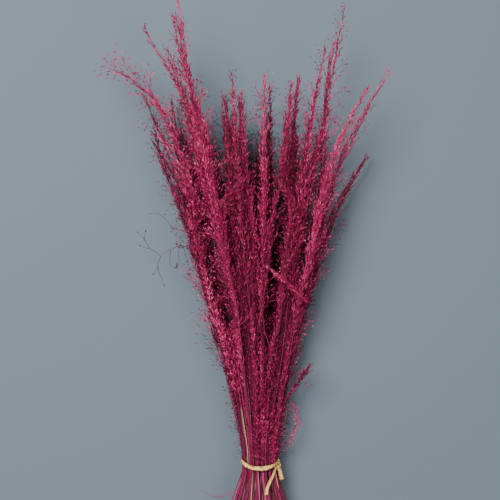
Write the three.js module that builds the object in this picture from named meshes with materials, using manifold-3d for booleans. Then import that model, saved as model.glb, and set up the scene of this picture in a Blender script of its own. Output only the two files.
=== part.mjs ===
// A tied bunch of dyed, dried bent grass, lying on its side. Millimetres, +Z up.
// The bunch lies along Y: cut stem ends towards -Y, plume tips towards +Y. Lengths along it
// are counted from the middle of the tie. About 250 stalks are gathered into wisps, each one
// closed solid from its cut end to its tip; a strip of raffia holds them, and a few loose
// sprigs stand out of the bunch or lie on it.
import * as THREE from "three";
import { mergeVertices } from "three/addons/utils/BufferGeometryUtils.js";
import Module from "manifold-3d";

const wasm = await Module();
wasm.setup();

// ---- Driving dimensions, in mm ----
const WISPS = 52;
const WISP_GAP = 0.45; // clear space between neighbouring wisps
const WISP_SIDES = 6;
const PLUME_RADIUS = 8.5; // the fullest a wisp's plume may be

const STEM_BELOW_TIE = 118; // from the tie to the cut ends
const STEM_UNEVENNESS = 9; // how far the cut ends differ
const USUAL_TIP = 428; // from the tie to the tip of a usual long wisp
const SHORTEST_TIP = 350;
const EDGE_RISE = 25; // wisps at the fan's sides are this much longer than in its middle
const PLUME_FOOT = 34; // from the tie to where the plumes begin to swell

const STRIP_WIDTH = 5;
const STRIP_THICKNESS = 0.9;
const STRIP_CLEARANCE = 0.5; // between the strip and the stems
const STRIP_HEIGHT_AT_SIDE = 5.5; // along the bunch, where the strip passes its sides
const STRIP_SAG = 7.5; // how much lower the strip lies on top of the bunch
const STRIP_EDGE = 0.4; // the strip's edges slope in by this much

const TIE_WAIST = 41; // across the gathered stems under the tie
const STRAIGHT_PAST_STRIP = 3; // the stems run straight this far beyond the strip's edges
const WAIST_ABOVE = STRIP_HEIGHT_AT_SIDE + STRIP_WIDTH / 2 + STRAIGHT_PAST_STRIP;
const WAIST_BELOW = STRIP_SAG - STRIP_HEIGHT_AT_SIDE + STRIP_WIDTH / 2 + STRAIGHT_PAST_STRIP;
const FAN_LEVEL = 433; // above the tie, where the fan's width and thickness are given
const FAN_HALF_WIDTH = 131;
const FAN_HEIGHT = 88; // thickness of the lying fan
const FAN_CURVE = 1.24; // 1 is a straight cone, more opens faster towards the tips
const FULL_HEIGHT_AT = 0.67; // share of the fan's opening at which it has its full height
const FLOOR_SHARE = 0.4; // share of the fan's height that is below its middle
const FLATTENING = 0.9; // 0 is a round underside, 1 a flat one
const FLAT_SPREAD = 1.08; // more than 1 puts more of the lowest wisps flat on the floor
const FLAT_FROM = 120; // above the tie, where the underside is as flat as it gets
const CUT_HALF_WIDTH = 43; // of the splayed cut ends
const CUT_HEIGHT = 50;
const CUT_CURVE = 0.85;
const CUT_FLATTENING = 0.6;
const SWIRL = 0.16; // radians that the bunch turns about its length, tie to fan level

const KNOT_ANGLE = 0.3; // radians above the bunch's right side
const KNOT = { across: 2.6, along: 3.6, out: 1.9 };
const LONG_TAIL = { drop: 33, turn: 0.98, width: 3.6, stand: 1.2 };
const SHORT_TAIL = { drop: 19, turn: -0.16, width: 4, stand: 3.4 };

// Wisps that rise above the rest: where the tip is, across and from the tie. The one furthest
// to the left turns aside only near its tip.
const LEADERS = [
  { across: -94, tip: 514 },
  { across: 91, tip: 503 },
  { across: -111, tip: 480 },
  { across: 69, tip: 455 },
  { across: -170, tip: 448, archCurve: 8 },
  { across: 141, tip: 433 },
  { across: -32, tip: 428 },
  { across: 4, tip: 426 },
  { across: 115, tip: 412 },
  { across: 35, tip: 418 },
  { across: -129, tip: 410 },
  { across: -112, tip: 364 },
  { across: 72, tip: 360 },
  { across: 121, tip: 345 },
];
const LEADER_HEIGHT = 0.45; // leaders are wisps at least this high in the fan's upper half
const HEIGHT_MATTERS = 0.4; // how much a lower wisp counts against being a leader
const ARCH_FROM = 0.5; // share of a leader's length where it starts to arch to its tip
const USUAL_ARCH_CURVE = 3.5; // more keeps the arch nearer to the tip

// Rings of a wisp, from the tie. The last one before a tip is left out when it is close.
const RINGS = [-70, -34, -WAIST_BELOW, WAIST_ABOVE, 45, 85, 130, 180, 235, 290, 345, 400, 455];
const LAST_RING_TO_TIP = 28;
const CUT_TO_FIRST_RING = 6;

// ---- Materials ----
const finish = (color, roughness) =>
  new THREE.MeshStandardMaterial({ color, roughness, metalness: 0 });
const dyedGrass = finish(0x9a2452, 0.75);
const darkGrass = finish(0x5c1230, 0.8);
const raffia = finish(0xe6cf98, 0.6);

// ---- The bunch's shape: an oval section that changes along Y ----
const smooth = (from, to, value) => THREE.MathUtils.smoothstep(value, from, to);
const mix = THREE.MathUtils.lerp;

// Half the neighbour distance of the wisps' spread, for a spread of radius 1. The golden
// angle's spread is a little closer in places than an even one.
const SPREAD_EVENNESS = 0.94;
const WISP_SHARE = (SPREAD_EVENNESS * Math.sqrt(Math.PI / WISPS)) / 2;
// Centres of the outermost wisps at the waist, so that their outsides meet the waist's circle.
const WAIST = (TIE_WAIST / 2 + WISP_GAP / 2) / (1 + WISP_SHARE);

// Half width of the wisps' centres, and their height above and below the middle, at y.
function ovalAt(y) {
  if (y < -WAIST_BELOW) {
    const share = ((-WAIST_BELOW - y) / (STEM_BELOW_TIE - WAIST_BELOW)) ** CUT_CURVE;
    const up = mix(WAIST, CUT_HEIGHT / 2, share);
    return { across: mix(WAIST, CUT_HALF_WIDTH, share), up, down: up, flat: share * CUT_FLATTENING };
  }
  const share = (Math.max(0, y - WAIST_ABOVE) / (FAN_LEVEL - WAIST_ABOVE)) ** FAN_CURVE;
  const risen = Math.min(1, share / FULL_HEIGHT_AT);
  return {
    across: mix(WAIST, FAN_HALF_WIDTH, share),
    up: mix(WAIST, (1 - FLOOR_SHARE) * FAN_HEIGHT, risen),
    down: mix(WAIST, FLOOR_SHARE * FAN_HEIGHT, risen),
    flat: FLATTENING * smooth(WAIST_ABOVE, FLAT_FROM, y),
  };
}

// Wisps are spread evenly over a disc, each turned by the golden angle from the last.
const GOLDEN_ANGLE = Math.PI * (3 - Math.sqrt(5));
function onDisc(index, y) {
  const radius = Math.sqrt((index + 0.5) / WISPS);
  const angle = index * GOLDEN_ANGLE + (SWIRL * y) / FAN_LEVEL;
  return new THREE.Vector2(radius * Math.cos(angle), radius * Math.sin(angle));
}

// A wisp's own numbers: its cut end, its tip and its arch. Fractions of whole multiples of
// these two steps spread evenly between 0 and 1 without repeating. The leaders take the upper
// wisps that pass nearest to where their tips are, and arch to them.
const TIP_STEP = 0.618;
const CUT_STEP = 0.7549;
const wisps = Array.from({ length: WISPS }, (_, index) => {
  const usual = mix(SHORTEST_TIP, USUAL_TIP, (index * TIP_STEP) % 1);
  return {
    index,
    cut: -STEM_BELOW_TIE + STEM_UNEVENNESS * ((index * CUT_STEP) % 1),
    tip: usual + EDGE_RISE * onDisc(index, usual).x ** 2,
    arch: 0,
    archCurve: USUAL_ARCH_CURVE,
    leads: false,
  };
});
for (const leader of LEADERS) {
  const { across } = ovalAt(leader.tip);
  const miss = (wisp) => {
    const place = onDisc(wisp.index, leader.tip);
    const aside = Math.abs(place.x - leader.across / across);
    return aside + HEIGHT_MATTERS * Math.max(0, LEADER_HEIGHT - place.y);
  };
  const free = wisps.filter((wisp) => !wisp.leads);
  const nearest = free.reduce((best, wisp) => (miss(wisp) < miss(best) ? wisp : best));
  const arch = leader.across - across * onDisc(nearest.index, leader.tip).x;
  const archCurve = leader.archCurve ?? USUAL_ARCH_CURVE;
  Object.assign(nearest, { tip: leader.tip, arch, archCurve, leads: true });
}
function archAt(wisp, y) {
  const share = (y / wisp.tip - ARCH_FROM) / (1 - ARCH_FROM);
  return wisp.arch * THREE.MathUtils.clamp(share, 0, 1) ** wisp.archCurve;
}

// Radius of a wisp at y with no neighbours, from its stem to its full plume, and how much of
// it is left towards the tip.
const TAPER_FROM = 0.53; // share of the plume that tapers
const TAPER_CURVE = 0.8;
function fullRadius(wisp, y) {
  const stem = WAIST * WISP_SHARE;
  const along = (y - PLUME_FOOT) / (wisp.tip - PLUME_FOOT);
  return stem + (PLUME_RADIUS - stem) * smooth(0, 0.5, along);
}
function taper(wisp, y) {
  const left = (wisp.tip - y) / (wisp.tip - PLUME_FOOT);
  return THREE.MathUtils.clamp(left / TAPER_FROM, 0, 1) ** TAPER_CURVE;
}

// All wisps at one y: centres, and radii that keep the gap between neighbours. The section
// is then lowered until its fullest wisps rest on the floor; under the tie the strip does.
const STEEPEST_SIDE = 0.04; // keeps the floor's flattening finite at the fan's sides
const OFF_STRIP = 2.5 * WAIST_ABOVE; // from the tie, where the plumes have sunk to the floor
const sections = new Map();
function sectionAt(y) {
  if (sections.has(y)) return sections.get(y);
  const oval = ovalAt(y);
  const rings = wisps.map((wisp) => {
    const { x, y: height } = onDisc(wisp.index, y);
    const side = Math.sqrt(Math.max(STEEPEST_SIDE, 1 - x * x));
    const flatter = mix(1, FLAT_SPREAD / side, oval.flat);
    const z = height > 0 ? oval.up * height : oval.down * Math.max(-1, height * flatter);
    return { centre: new THREE.Vector3(oval.across * x + archAt(wisp, y), y, z) };
  });
  rings.forEach((ring, index) => {
    const others = rings.filter((other) => other !== ring);
    const nearest = Math.min(...others.map((other) => other.centre.distanceTo(ring.centre)));
    ring.full = Math.min((nearest - WISP_GAP) / 2, fullRadius(wisps[index], y));
    ring.radius = ring.full * taper(wisps[index], y);
  });
  const lowest = Math.min(...rings.map((ring) => ring.centre.z - ring.full));
  const onStrip = 1 - smooth(WAIST_ABOVE, OFF_STRIP, Math.abs(y));
  const lift = onStrip * (STRIP_CLEARANCE + STRIP_THICKNESS) - lowest;
  for (const ring of rings) ring.centre.z += lift;
  const section = { rings, middle: lift };
  sections.set(y, section);
  return section;
}

// ---- Wisps: a lathe's profile along Y, each ring moved to its centre ----
function wispGeometry(wisp) {
  const first = wisp.cut + CUT_TO_FIRST_RING;
  const levels = RINGS.filter((y) => y > first && y < wisp.tip - LAST_RING_TO_TIP);
  const stations = [wisp.cut, ...levels];
  const radii = stations.map((y) => sectionAt(y).rings[wisp.index].radius);
  const profile = [
    new THREE.Vector2(0, wisp.cut),
    ...stations.map((y, i) => new THREE.Vector2(radii[i], y)),
    new THREE.Vector2(0, wisp.tip),
  ];
  const geometry = new THREE.LatheGeometry(profile, WISP_SIDES);
  return moved(geometry, (point) => point.add(centreAt(wisp, point.y)));
}

function centreAt(wisp, y) {
  const { centre } = sectionAt(Number(y.toFixed(3))).rings[wisp.index];
  return new THREE.Vector3(centre.x, 0, centre.z);
}

// Moves every vertex by a function of its place, and leaves only a closed surface's positions.
function moved(geometry, move) {
  const bare = new THREE.BufferGeometry();
  bare.setAttribute("position", geometry.getAttribute("position"));
  bare.setIndex(geometry.index);
  const position = bare.getAttribute("position");
  const point = new THREE.Vector3();
  for (let i = 0; i < position.count; i++) {
    point.fromBufferAttribute(position, i);
    move(point);
    position.setXYZ(i, point.x, point.y, point.z);
  }
  return mergeVertices(bare, 1e-4);
}

// ---- Raffia and loose sprigs are laid on the bunch's outside ----
// How far the wisps reach from the middle of the section at y, near a direction.
const NEAR = [-0.2, -0.1, 0, 0.1, 0.2];
function reachAt(angle, y) {
  const { rings, middle } = sectionAt(y);
  let reach = 0;
  for (const turn of NEAR) {
    const [right, up] = [Math.cos(angle + turn), Math.sin(angle + turn)];
    for (const { centre, radius } of rings) {
      const along = centre.x * right + (centre.z - middle) * up;
      const aside = centre.x * up - (centre.z - middle) * right;
      if (Math.abs(aside) >= radius) continue;
      reach = Math.max(reach, along + Math.sqrt(radius ** 2 - aside ** 2));
    }
  }
  return reach;
}

// A place on the outside: angle 0 is the right side, a quarter turn the top; out is the
// distance from the stems or plumes.
function onOutside(angle, y, out) {
  const level = Number(y.toFixed(1));
  const far = reachAt(angle, level) + out;
  const height = sectionAt(level).middle + far * Math.sin(angle);
  return new THREE.Vector3(far * Math.cos(angle), y, height);
}

function solid(geometry) {
  const merged = mergeVertices(geometry, 1e-4);
  return new wasm.Manifold(
    new wasm.Mesh({
      numProp: 3,
      vertProperties: merged.getAttribute("position").array,
      triVerts: new Uint32Array(merged.index.array),
    }),
  );
}

function surface(manifold) {
  const mesh = manifold.getMesh();
  const geometry = new THREE.BufferGeometry();
  geometry.setAttribute("position", new THREE.BufferAttribute(mesh.vertProperties, 3));
  return geometry.setIndex(new THREE.BufferAttribute(mesh.triVerts, 1));
}

// The strip's loop: a flat ring round the waist that sags towards the cut ends on top.
const LOOP_SIDES = 36;
const SAG_CURVE = 1.3;
function stripLoop() {
  const inner = TIE_WAIST / 2 + STRIP_CLEARANCE;
  const half = STRIP_WIDTH / 2;
  const outer = inner + STRIP_THICKNESS;
  const section = [
    new THREE.Vector2(inner, -half),
    new THREE.Vector2(outer, -half + STRIP_EDGE),
    new THREE.Vector2(outer, half - STRIP_EDGE),
    new THREE.Vector2(inner, half),
    new THREE.Vector2(inner, -half),
  ];
  const middle = sectionAt(0).middle;
  return moved(new THREE.LatheGeometry(section, LOOP_SIDES), (point) => {
    const height = point.z / outer;
    point.y += STRIP_HEIGHT_AT_SIDE - STRIP_SAG * Math.max(0, height) ** SAG_CURVE;
    point.z += middle;
  });
}

// A tail: a flat bar laid along the outside, from the knot towards the cut ends. It is
// pinched where it leaves the knot.
const TAIL_STEPS = 8;
const PINCH = 0.75;
const LOOK_AROUND = 0.1; // share of a tail over which its direction is taken
function stripTail({ drop, turn, width, stand }) {
  const bar = new THREE.BoxGeometry(width, 1, STRIP_THICKNESS, 1, TAIL_STEPS, 1);
  const pathAt = (along) => {
    const y = STRIP_HEIGHT_AT_SIDE - STRIP_WIDTH / 2 - drop * along;
    const angle = KNOT_ANGLE + turn * Math.sin((Math.PI / 2) * along);
    const out = STRIP_CLEARANCE + STRIP_THICKNESS / 2 + stand * smooth(0, 0.5, along);
    return { angle, place: onOutside(angle, y, out) };
  };
  return moved(bar, (point) => {
    const along = 0.5 - point.y;
    const { angle, place } = pathAt(along);
    const ahead = pathAt(along + LOOK_AROUND).place;
    const tangent = ahead.sub(pathAt(along - LOOK_AROUND).place).normalize();
    const out = new THREE.Vector3(Math.cos(angle), 0, Math.sin(angle));
    const side = tangent.clone().cross(out).normalize();
    const narrow = mix(PINCH, 1, along);
    const { x: across, z: thick } = point;
    point.copy(place).addScaledVector(side, -across * narrow).addScaledVector(out, thick);
  });
}

const KNOT_SIDES = 12;
const KNOT_RINGS = 8;
function knot() {
  const y = STRIP_HEIGHT_AT_SIDE - STRIP_WIDTH / 2;
  const out = STRIP_CLEARANCE + KNOT.out;
  const place = onOutside(KNOT_ANGLE, y, out);
  const ball = new THREE.SphereGeometry(1, KNOT_SIDES, KNOT_RINGS);
  ball.scale(KNOT.out, KNOT.along, KNOT.across);
  ball.rotateY(-KNOT_ANGLE);
  return moved(ball, (point) => point.add(place));
}

function tieGeometry() {
  const parts = [stripLoop(), knot(), stripTail(LONG_TAIL), stripTail(SHORT_TAIL)];
  return surface(parts.map(solid).reduce((whole, part) => whole.add(part)));
}

// A loose sprig: a spindle whose middle line follows a curve through the points given as
// [angle, y, out] on the bunch's outside. Its ends start at a share of its radius and swell.
const SPRIG_FOOT = { start: 0.35, swell: 1.6 };
const SPRIG_TIP = { start: 0.15, swell: 2.4 };
function sprigGeometry({ route, radius, sides, steps }) {
  const points = route.map(([angle, y, out]) => onOutside(angle, y, out + radius));
  const curve = new THREE.CatmullRomCurve3(points);
  const profile = [new THREE.Vector2(0, 0)];
  for (let step = 1; step < steps; step++) {
    const along = step / steps;
    const foot = SPRIG_FOOT.start + SPRIG_FOOT.swell * along;
    const tip = SPRIG_TIP.start + SPRIG_TIP.swell * (1 - along);
    profile.push(new THREE.Vector2(radius * Math.min(1, foot, tip), along));
  }
  profile.push(new THREE.Vector2(0, 1));
  const frames = curve.computeFrenetFrames(steps, false);
  return moved(new THREE.LatheGeometry(profile, sides), (point) => {
    const index = Math.round(point.y * steps);
    const { x: across, z: over } = point;
    point.copy(curve.getPointAt(index / steps));
    point.addScaledVector(frames.binormals[index], across);
    point.addScaledVector(frames.normals[index], over);
  });
}

const TOP = Math.PI / 2;
const LEFT = Math.PI - 0.1;
const SPRIGS = {
  crossing_sprig: {
    route: [
      [TOP - 0.16, 222, 1.2], [TOP - 0.45, 211, 1.2], [TOP - 0.75, 199, 1.2], [TOP - 1.05, 188, 1.2],
    ],
    radius: 2.6, sides: 6, steps: 8,
  },
  side_sprig: {
    route: [[0.35, 80, 0.8], [0.33, 98, 6], [0.3, 117, 15]],
    radius: 2.6, sides: 6, steps: 6,
  },
  drooping_sprig: {
    route: [[0.1, 75, 0.8], [0.1, 64, 6.5], [0.1, 52, 11], [0.1, 41, 12], [0.12, 32, 10]],
    radius: 3, sides: 6, steps: 7,
  },
  fine_spray: {
    route: [[LEFT, 239, 0.8], [LEFT, 243, 14], [LEFT, 234, 33], [LEFT, 239, 47], [LEFT, 252, 58]],
    radius: 2, sides: 6, steps: 9,
  },
  curled_strand: {
    route: [
      [Math.PI - 0.5, -28, 0.8], [Math.PI - 0.3, -29, 6], [LEFT, -34, 15], [LEFT, -35, 25], [LEFT, -28, 40],
    ],
    radius: 0.6, sides: 6, steps: 10,
  },
};

// ---- The scene graph ----
const bunch = new THREE.Group();
function addPiece(name, geometry, material) {
  const mesh = new THREE.Mesh(geometry, material);
  mesh.name = name;
  bunch.add(mesh);
}

for (const wisp of wisps) {
  const name = "wisp_" + String(wisp.index + 1).padStart(2, "0");
  addPiece(name, wispGeometry(wisp), wisp.index % 3 ? dyedGrass : darkGrass);
}
addPiece("raffia_tie", tieGeometry(), raffia);
for (const [name, sprig] of Object.entries(SPRIGS)) addPiece(name, sprigGeometry(sprig), dyedGrass);

// The origin is under the middle of the bunch's box, on the floor.
const box = new THREE.Box3().setFromObject(bunch);
const middle = box.getCenter(new THREE.Vector3());
bunch.position.set(-middle.x, -middle.y, -box.min.z);

export default bunch;
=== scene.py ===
import math

import bmesh
import bpy
import numpy as np
from mathutils import Matrix, Vector


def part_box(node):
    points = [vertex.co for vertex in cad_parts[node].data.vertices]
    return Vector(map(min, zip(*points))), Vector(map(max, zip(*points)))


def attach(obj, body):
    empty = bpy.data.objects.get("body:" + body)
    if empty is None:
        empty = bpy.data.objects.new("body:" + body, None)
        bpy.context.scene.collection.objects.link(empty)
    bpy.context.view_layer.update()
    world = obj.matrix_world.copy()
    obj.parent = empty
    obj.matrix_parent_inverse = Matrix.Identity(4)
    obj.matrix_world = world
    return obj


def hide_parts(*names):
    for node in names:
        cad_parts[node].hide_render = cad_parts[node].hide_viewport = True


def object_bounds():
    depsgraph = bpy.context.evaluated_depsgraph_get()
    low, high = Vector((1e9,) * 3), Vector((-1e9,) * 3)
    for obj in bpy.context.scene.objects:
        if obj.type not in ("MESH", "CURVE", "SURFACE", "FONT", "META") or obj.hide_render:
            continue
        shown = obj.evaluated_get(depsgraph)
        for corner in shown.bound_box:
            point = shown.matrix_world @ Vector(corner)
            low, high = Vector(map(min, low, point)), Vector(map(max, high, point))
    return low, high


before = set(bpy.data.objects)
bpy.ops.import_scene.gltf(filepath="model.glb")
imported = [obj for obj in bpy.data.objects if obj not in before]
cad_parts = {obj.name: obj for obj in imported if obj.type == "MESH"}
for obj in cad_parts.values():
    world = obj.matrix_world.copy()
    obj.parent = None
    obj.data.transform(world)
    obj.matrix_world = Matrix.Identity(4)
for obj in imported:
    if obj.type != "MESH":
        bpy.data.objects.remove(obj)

cad_box = [list(corner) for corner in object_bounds()]
MM = 0.001

# Husks: the spikelets of bent grass, narrow papery husks three to five millimetres long.
# They are dyed with the rest of the plant, so some take more colour than others. A closed
# husk is one spindle; an open one has two bracts that part towards their tips.
GRASS_MAP = "OFBake"  # across: from dark to pale; up: husks in rows, and above them stems
HUSK_ROWS = 6
ROW_HEIGHT = 0.075
ROW_MARGIN = 0.01
HUSK_ACROSS = 0.02  # what a husk takes of the map's width
MAP_HALF = 0.49
STEMS_FROM = 0.54  # up the map, culms from their cut ends to their tips
STEMS_AT_TIE = 0.63
STEMS_TO = 0.98
ON_AXIS = 1e-6
HUSK_SIDES = 3
CLOSED_BELLY = (0.56, 0.55)  # place along a husk of length one, and half width
OPEN_BELLY = (0.5, 0.36)
HUSK_FLATNESS = 0.75
BRACT_LEAN = 0.55
BRACT_CURVE = 1.5


def new_shape():
    shape = bmesh.new()
    shape.loops.layers.uv.new(GRASS_MAP)
    return shape


def finished(shape, name):
    bmesh.ops.recalc_face_normals(shape, faces=shape.faces)
    mesh = bpy.data.meshes.new(name)
    shape.to_mesh(mesh)
    shape.free()
    return mesh


def spindle(sides, rings, low, high, across):
    """A closed shape along +Y, one long, from rings of (place along it, radius)."""
    shape = new_shape()
    layer = shape.loops.layers.uv[GRASS_MAP]
    count = len(rings) + 1
    bmesh.ops.create_uvsphere(shape, u_segments=sides, v_segments=count, radius=1)
    bmesh.ops.rotate(shape, verts=shape.verts, matrix=Matrix.Rotation(-math.pi / 2, 3, "X"))
    stations = [(0, 0), *rings, (1, 0)]
    for vert in shape.verts:
        step = round(math.acos(max(-1, min(1, -vert.co.y))) / math.pi * count)
        along, radius = stations[step]
        now = math.hypot(vert.co.x, vert.co.z)
        wider = radius / now if now > ON_AXIS else 0
        vert.co = (vert.co.x * wider, along, vert.co.z * wider)
    for face in shape.faces:
        face.smooth = sides > HUSK_SIDES  # husks have a keel, culms are round
        middle = face.calc_center_median()
        facing = math.atan2(middle.z, middle.x)
        for loop in face.loops:
            x, along, z = loop.vert.co
            turn = math.remainder(math.atan2(z, x) - facing, math.tau)
            if math.hypot(x, z) < ON_AXIS:
                turn = 0
            round_it = 0.5 + (facing + turn) / math.tau
            loop[layer].uv = (across * round_it, low + (high - low) * along)
    return shape


def husk_mesh(name, bracts):
    """A husk along +Y, one long, about a quarter as wide, with its stalk in its base."""
    whole = new_shape()
    for side in bracts:
        rings = [CLOSED_BELLY if len(bracts) == 1 else OPEN_BELLY]
        bract = spindle(HUSK_SIDES, rings, ROW_MARGIN, ROW_HEIGHT - ROW_MARGIN, HUSK_ACROSS)
        for vert in bract.verts:
            vert.co.z *= HUSK_FLATNESS
            vert.co.x += side * BRACT_LEAN * vert.co.y**BRACT_CURVE
        mesh = finished(bract, "bract")
        whole.from_mesh(mesh)
        bpy.data.meshes.remove(mesh)
    return finished(whole, name)


HUSKS = [husk_mesh("closed_husk", (0,)), husk_mesh("open_husk", (-1, 1))]
THREAD_RINGS = [(0.01, 1), (0.5, 0.8)]
HUSK_STALK_RINGS = [(0.03, 1)]
THREAD, HUSK_STALK = [
    finished(spindle(HUSK_SIDES, rings, ROW_MARGIN, ROW_HEIGHT / 2, HUSK_ACROSS), "thread")
    for rings in (THREAD_RINGS, HUSK_STALK_RINGS)
]
map_places = {}


def places_on_map(mesh):
    """Where a mesh's corners are on the colour map, kept because copies share theirs with it."""
    if mesh.name not in map_places:
        places = np.empty(len(mesh.loops) * 2, np.float32)
        mesh.uv_layers[GRASS_MAP].uv.foreach_get("vector", places)
        map_places[mesh.name] = places.reshape(-1, 2)
    return map_places[mesh.name].copy()


def add_copy(shape, mesh, matrix, tone=0.0, row=0, bend=None, culm=None):
    """Adds a mesh to a shape, turned and placed, with its colours moved on the map.

    culm is given when a whole stalk is placed: how far up it the tie is, and its tones below
    and above the tie. All its colours are then kept on the map.
    """
    places = places_on_map(mesh)
    copy = mesh.copy()
    copy.transform(matrix)
    if bend is not None:
        points = np.empty(len(copy.vertices) * 3, np.float32)
        copy.vertices.foreach_get("co", points)
        copy.vertices.foreach_set("co", bend(points.reshape(-1, 3)).astype(np.float32).ravel())
    on_husk = places[:, 1] < HUSK_ROWS * ROW_HEIGHT
    if culm is None:
        places[:, 0] += tone
    else:
        tie_share, below, above = culm
        stems = (STEMS_FROM, STEMS_FROM + tie_share * (STEMS_TO - STEMS_FROM), STEMS_TO)
        heights = np.interp(places[:, 1], stems, (STEMS_FROM, STEMS_AT_TIE, STEMS_TO))
        places[:, 1] = np.where(on_husk, places[:, 1], heights)
        culm_tones = np.where(heights < STEMS_AT_TIE, below, above)
        places[:, 0] += np.where(on_husk, tone, culm_tones)
        places[:, 0] = 0.5 + MAP_HALF * np.tanh((places[:, 0] - 0.5) / MAP_HALF)
    places[:, 1] += np.where(on_husk, row * ROW_HEIGHT, 0)
    copy.uv_layers[GRASS_MAP].uv.foreach_set("vector", places.ravel())
    shape.from_mesh(copy)
    bpy.data.meshes.remove(copy)


# Branches of the panicle: hair-thin, with husks on short stalks of their own. Most lie close
# along the stalk; airy ones stand away from it and carry fewer husks, on longer stalks. Nine
# different branches are grown here, and the stalks below carry copies.
chance = np.random.default_rng(7)
THREAD_RADIUS = 0.2 * MM
HUSK_STALK_RADIUS = 0.7 * THREAD_RADIUS
BOWS = (0.04, 0.12)  # how far a branch curves, as a share of its length
HIGHEST_HUSK = 0.98
HUSK_LENGTHS = (2.8 * MM, 4.8 * MM)
HUSK_WIDTHS = (0.75 * MM, 1.1 * MM)
HUSK_TONES = (-0.02, 0.15)  # usual tone, and how much it varies
OPEN_HUSKS = 0.2  # share of husks
PALE_HUSKS = 0.08
PALE_BY = 0.3
# lowest place of a husk, lean of husks in degrees, and length of their stalks
CLOSE_HUSKS = (0.16, (5, 24), (0.5 * MM, 3.2 * MM))
AIRY_HUSKS = (0.45, (15, 50), (3 * MM, 9 * MM))


def aim(start, heading, roll=0.0):
    """Turns +Y to a heading and moves it to a start."""
    turn = Vector((0, 1, 0)).rotation_difference(heading).to_matrix().to_4x4()
    return Matrix.Translation(start) @ turn @ Matrix.Rotation(roll, 4, "Y")


def tilted(heading, angle, around):
    """A direction at an angle from a heading, on the side given by around."""
    side = heading.orthogonal().normalized()
    side.rotate(Matrix.Rotation(around, 3, heading))
    return (heading * math.cos(angle) + side * math.sin(angle)).normalized()


def sized(width, length):
    return Matrix.Diagonal((width, length, width, 1))


def branch_mesh(name, length, husks, airy):
    """A branch along +Y from its foot, curving up a little, with its husks."""
    shape = new_shape()
    bow = chance.uniform(*BOWS) * length
    lowest, leans, stalks = AIRY_HUSKS if airy else CLOSE_HUSKS

    def on_branch(share):
        return Vector((bow * share**2, length * share, 0))

    def bowed(points):
        share = points[:, 1] / length
        points[:, 0] += bow * share**2
        return points

    add_copy(shape, THREAD, sized(THREAD_RADIUS, length), row=chance.integers(2), bend=bowed)
    for number in range(husks):
        share = 1 if number == 0 else chance.uniform(lowest, HIGHEST_HUSK)
        start = on_branch(share)
        heading = (on_branch(share) - on_branch(share - 0.1)).normalized()
        angle = math.radians(chance.uniform(*leans))
        outwards = tilted(heading, angle * (number > 0), chance.uniform(0, math.tau))
        stalk = chance.uniform(*stalks)
        if airy or number % 3 == 0:
            add_copy(shape, HUSK_STALK, aim(start, outwards) @ sized(HUSK_STALK_RADIUS, stalk))
            start = start + outwards * stalk
            outwards = tilted(outwards, chance.uniform(0, 0.3), chance.uniform(0, math.tau))
        size = chance.uniform(*HUSK_LENGTHS)
        width = chance.uniform(*HUSK_WIDTHS)
        place = aim(start, outwards, chance.uniform(0, math.tau)) @ sized(width, size)
        add_copy(
            shape,
            HUSKS[int(chance.random() < OPEN_HUSKS)],
            place,
            tone=PALE_BY if chance.random() < PALE_HUSKS else chance.normal(*HUSK_TONES),
            row=int(chance.integers(HUSK_ROWS)),
        )
    return finished(shape, name)


# length in millimetres, husks, airy
BRANCHES = [
    (6, 6, False),
    (10, 8, False),
    (15, 11, False),
    (21, 13, False),
    (28, 15, False),
    (36, 18, False),
    (26, 7, True),
    (18, 5, True),
    (11, 4, True),
]
close_branches = []
airy_branches = []
for number, (length, husks, airy) in enumerate(BRANCHES):
    mesh = branch_mesh("branch_%d" % number, length * MM, husks, airy)
    (airy_branches if airy else close_branches).append((length * MM, mesh))

# Stalks: a thin round culm with two joints, and on it a narrow panicle. Tall, middle-sized,
# short and low stalks and a bare culm are grown straight here, each with its tip at the origin
# and its culm towards -Y, and every stalk of the bunch is one of them, bent to its own line.
CULM = 340 * MM
CULM_RADIUS = 0.54 * MM
CULM_SIDES = 5
CULM_ACROSS = 0.05
CULM_FOOT = 0.0006
CULM_TAPER = 0.35
CULM_STEPS = np.linspace(0.05, 0.95, 12)
PANICLE_STEPS = (0, 0.2, 0.4, 0.6, 0.8, 0.93)
JOINTS = (0.22, 0.47)  # shares of the culm
JOINT_RINGS = ((-0.006, 0.95), (0, 1.35), (0.006, 0.95))  # place beside it, and swelling
TOP_REACH = 6.5 * MM  # of the branches at the tip
LAST_WHORL = 0.985
SMALL_WHORLS_FROM = 0.8
TIP_HUSKS = 3
TIP_HUSK = (0.9 * MM, 3.4 * MM)
CLOSE_LEAN = (4, 14)  # degrees from the stalk
AIRY_LEAN = (18, 50)
UP = Vector((0, 1, 0))


def culm_rings(head):
    """Places along the whole stalk and radii, from the cut end to the tip."""
    whole = head + CULM
    rings = [(CULM_FOOT, CULM_RADIUS)]
    for share in CULM_STEPS:
        rings.append((share * CULM / whole, CULM_RADIUS * (1 - CULM_TAPER * share)))
    for share in JOINTS:
        for step, wider in JOINT_RINGS:
            radius = CULM_RADIUS * (1 - CULM_TAPER * share) * wider
            rings.append(((share + step) * CULM / whole, radius))
    for share in PANICLE_STEPS:
        rings.append(((CULM + share * head) / whole, CULM_RADIUS * (0.6 - 0.45 * share)))
    return sorted(rings)


def culm_mesh(head):
    whole = head + CULM
    round_culm = spindle(CULM_SIDES, culm_rings(head), STEMS_FROM, STEMS_TO, CULM_ACROSS)
    culm = finished(round_culm, "culm")
    culm.transform(Matrix.Translation((0, -whole, 0)) @ Matrix.Diagonal((1, whole, 1, 1)))
    return culm


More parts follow.
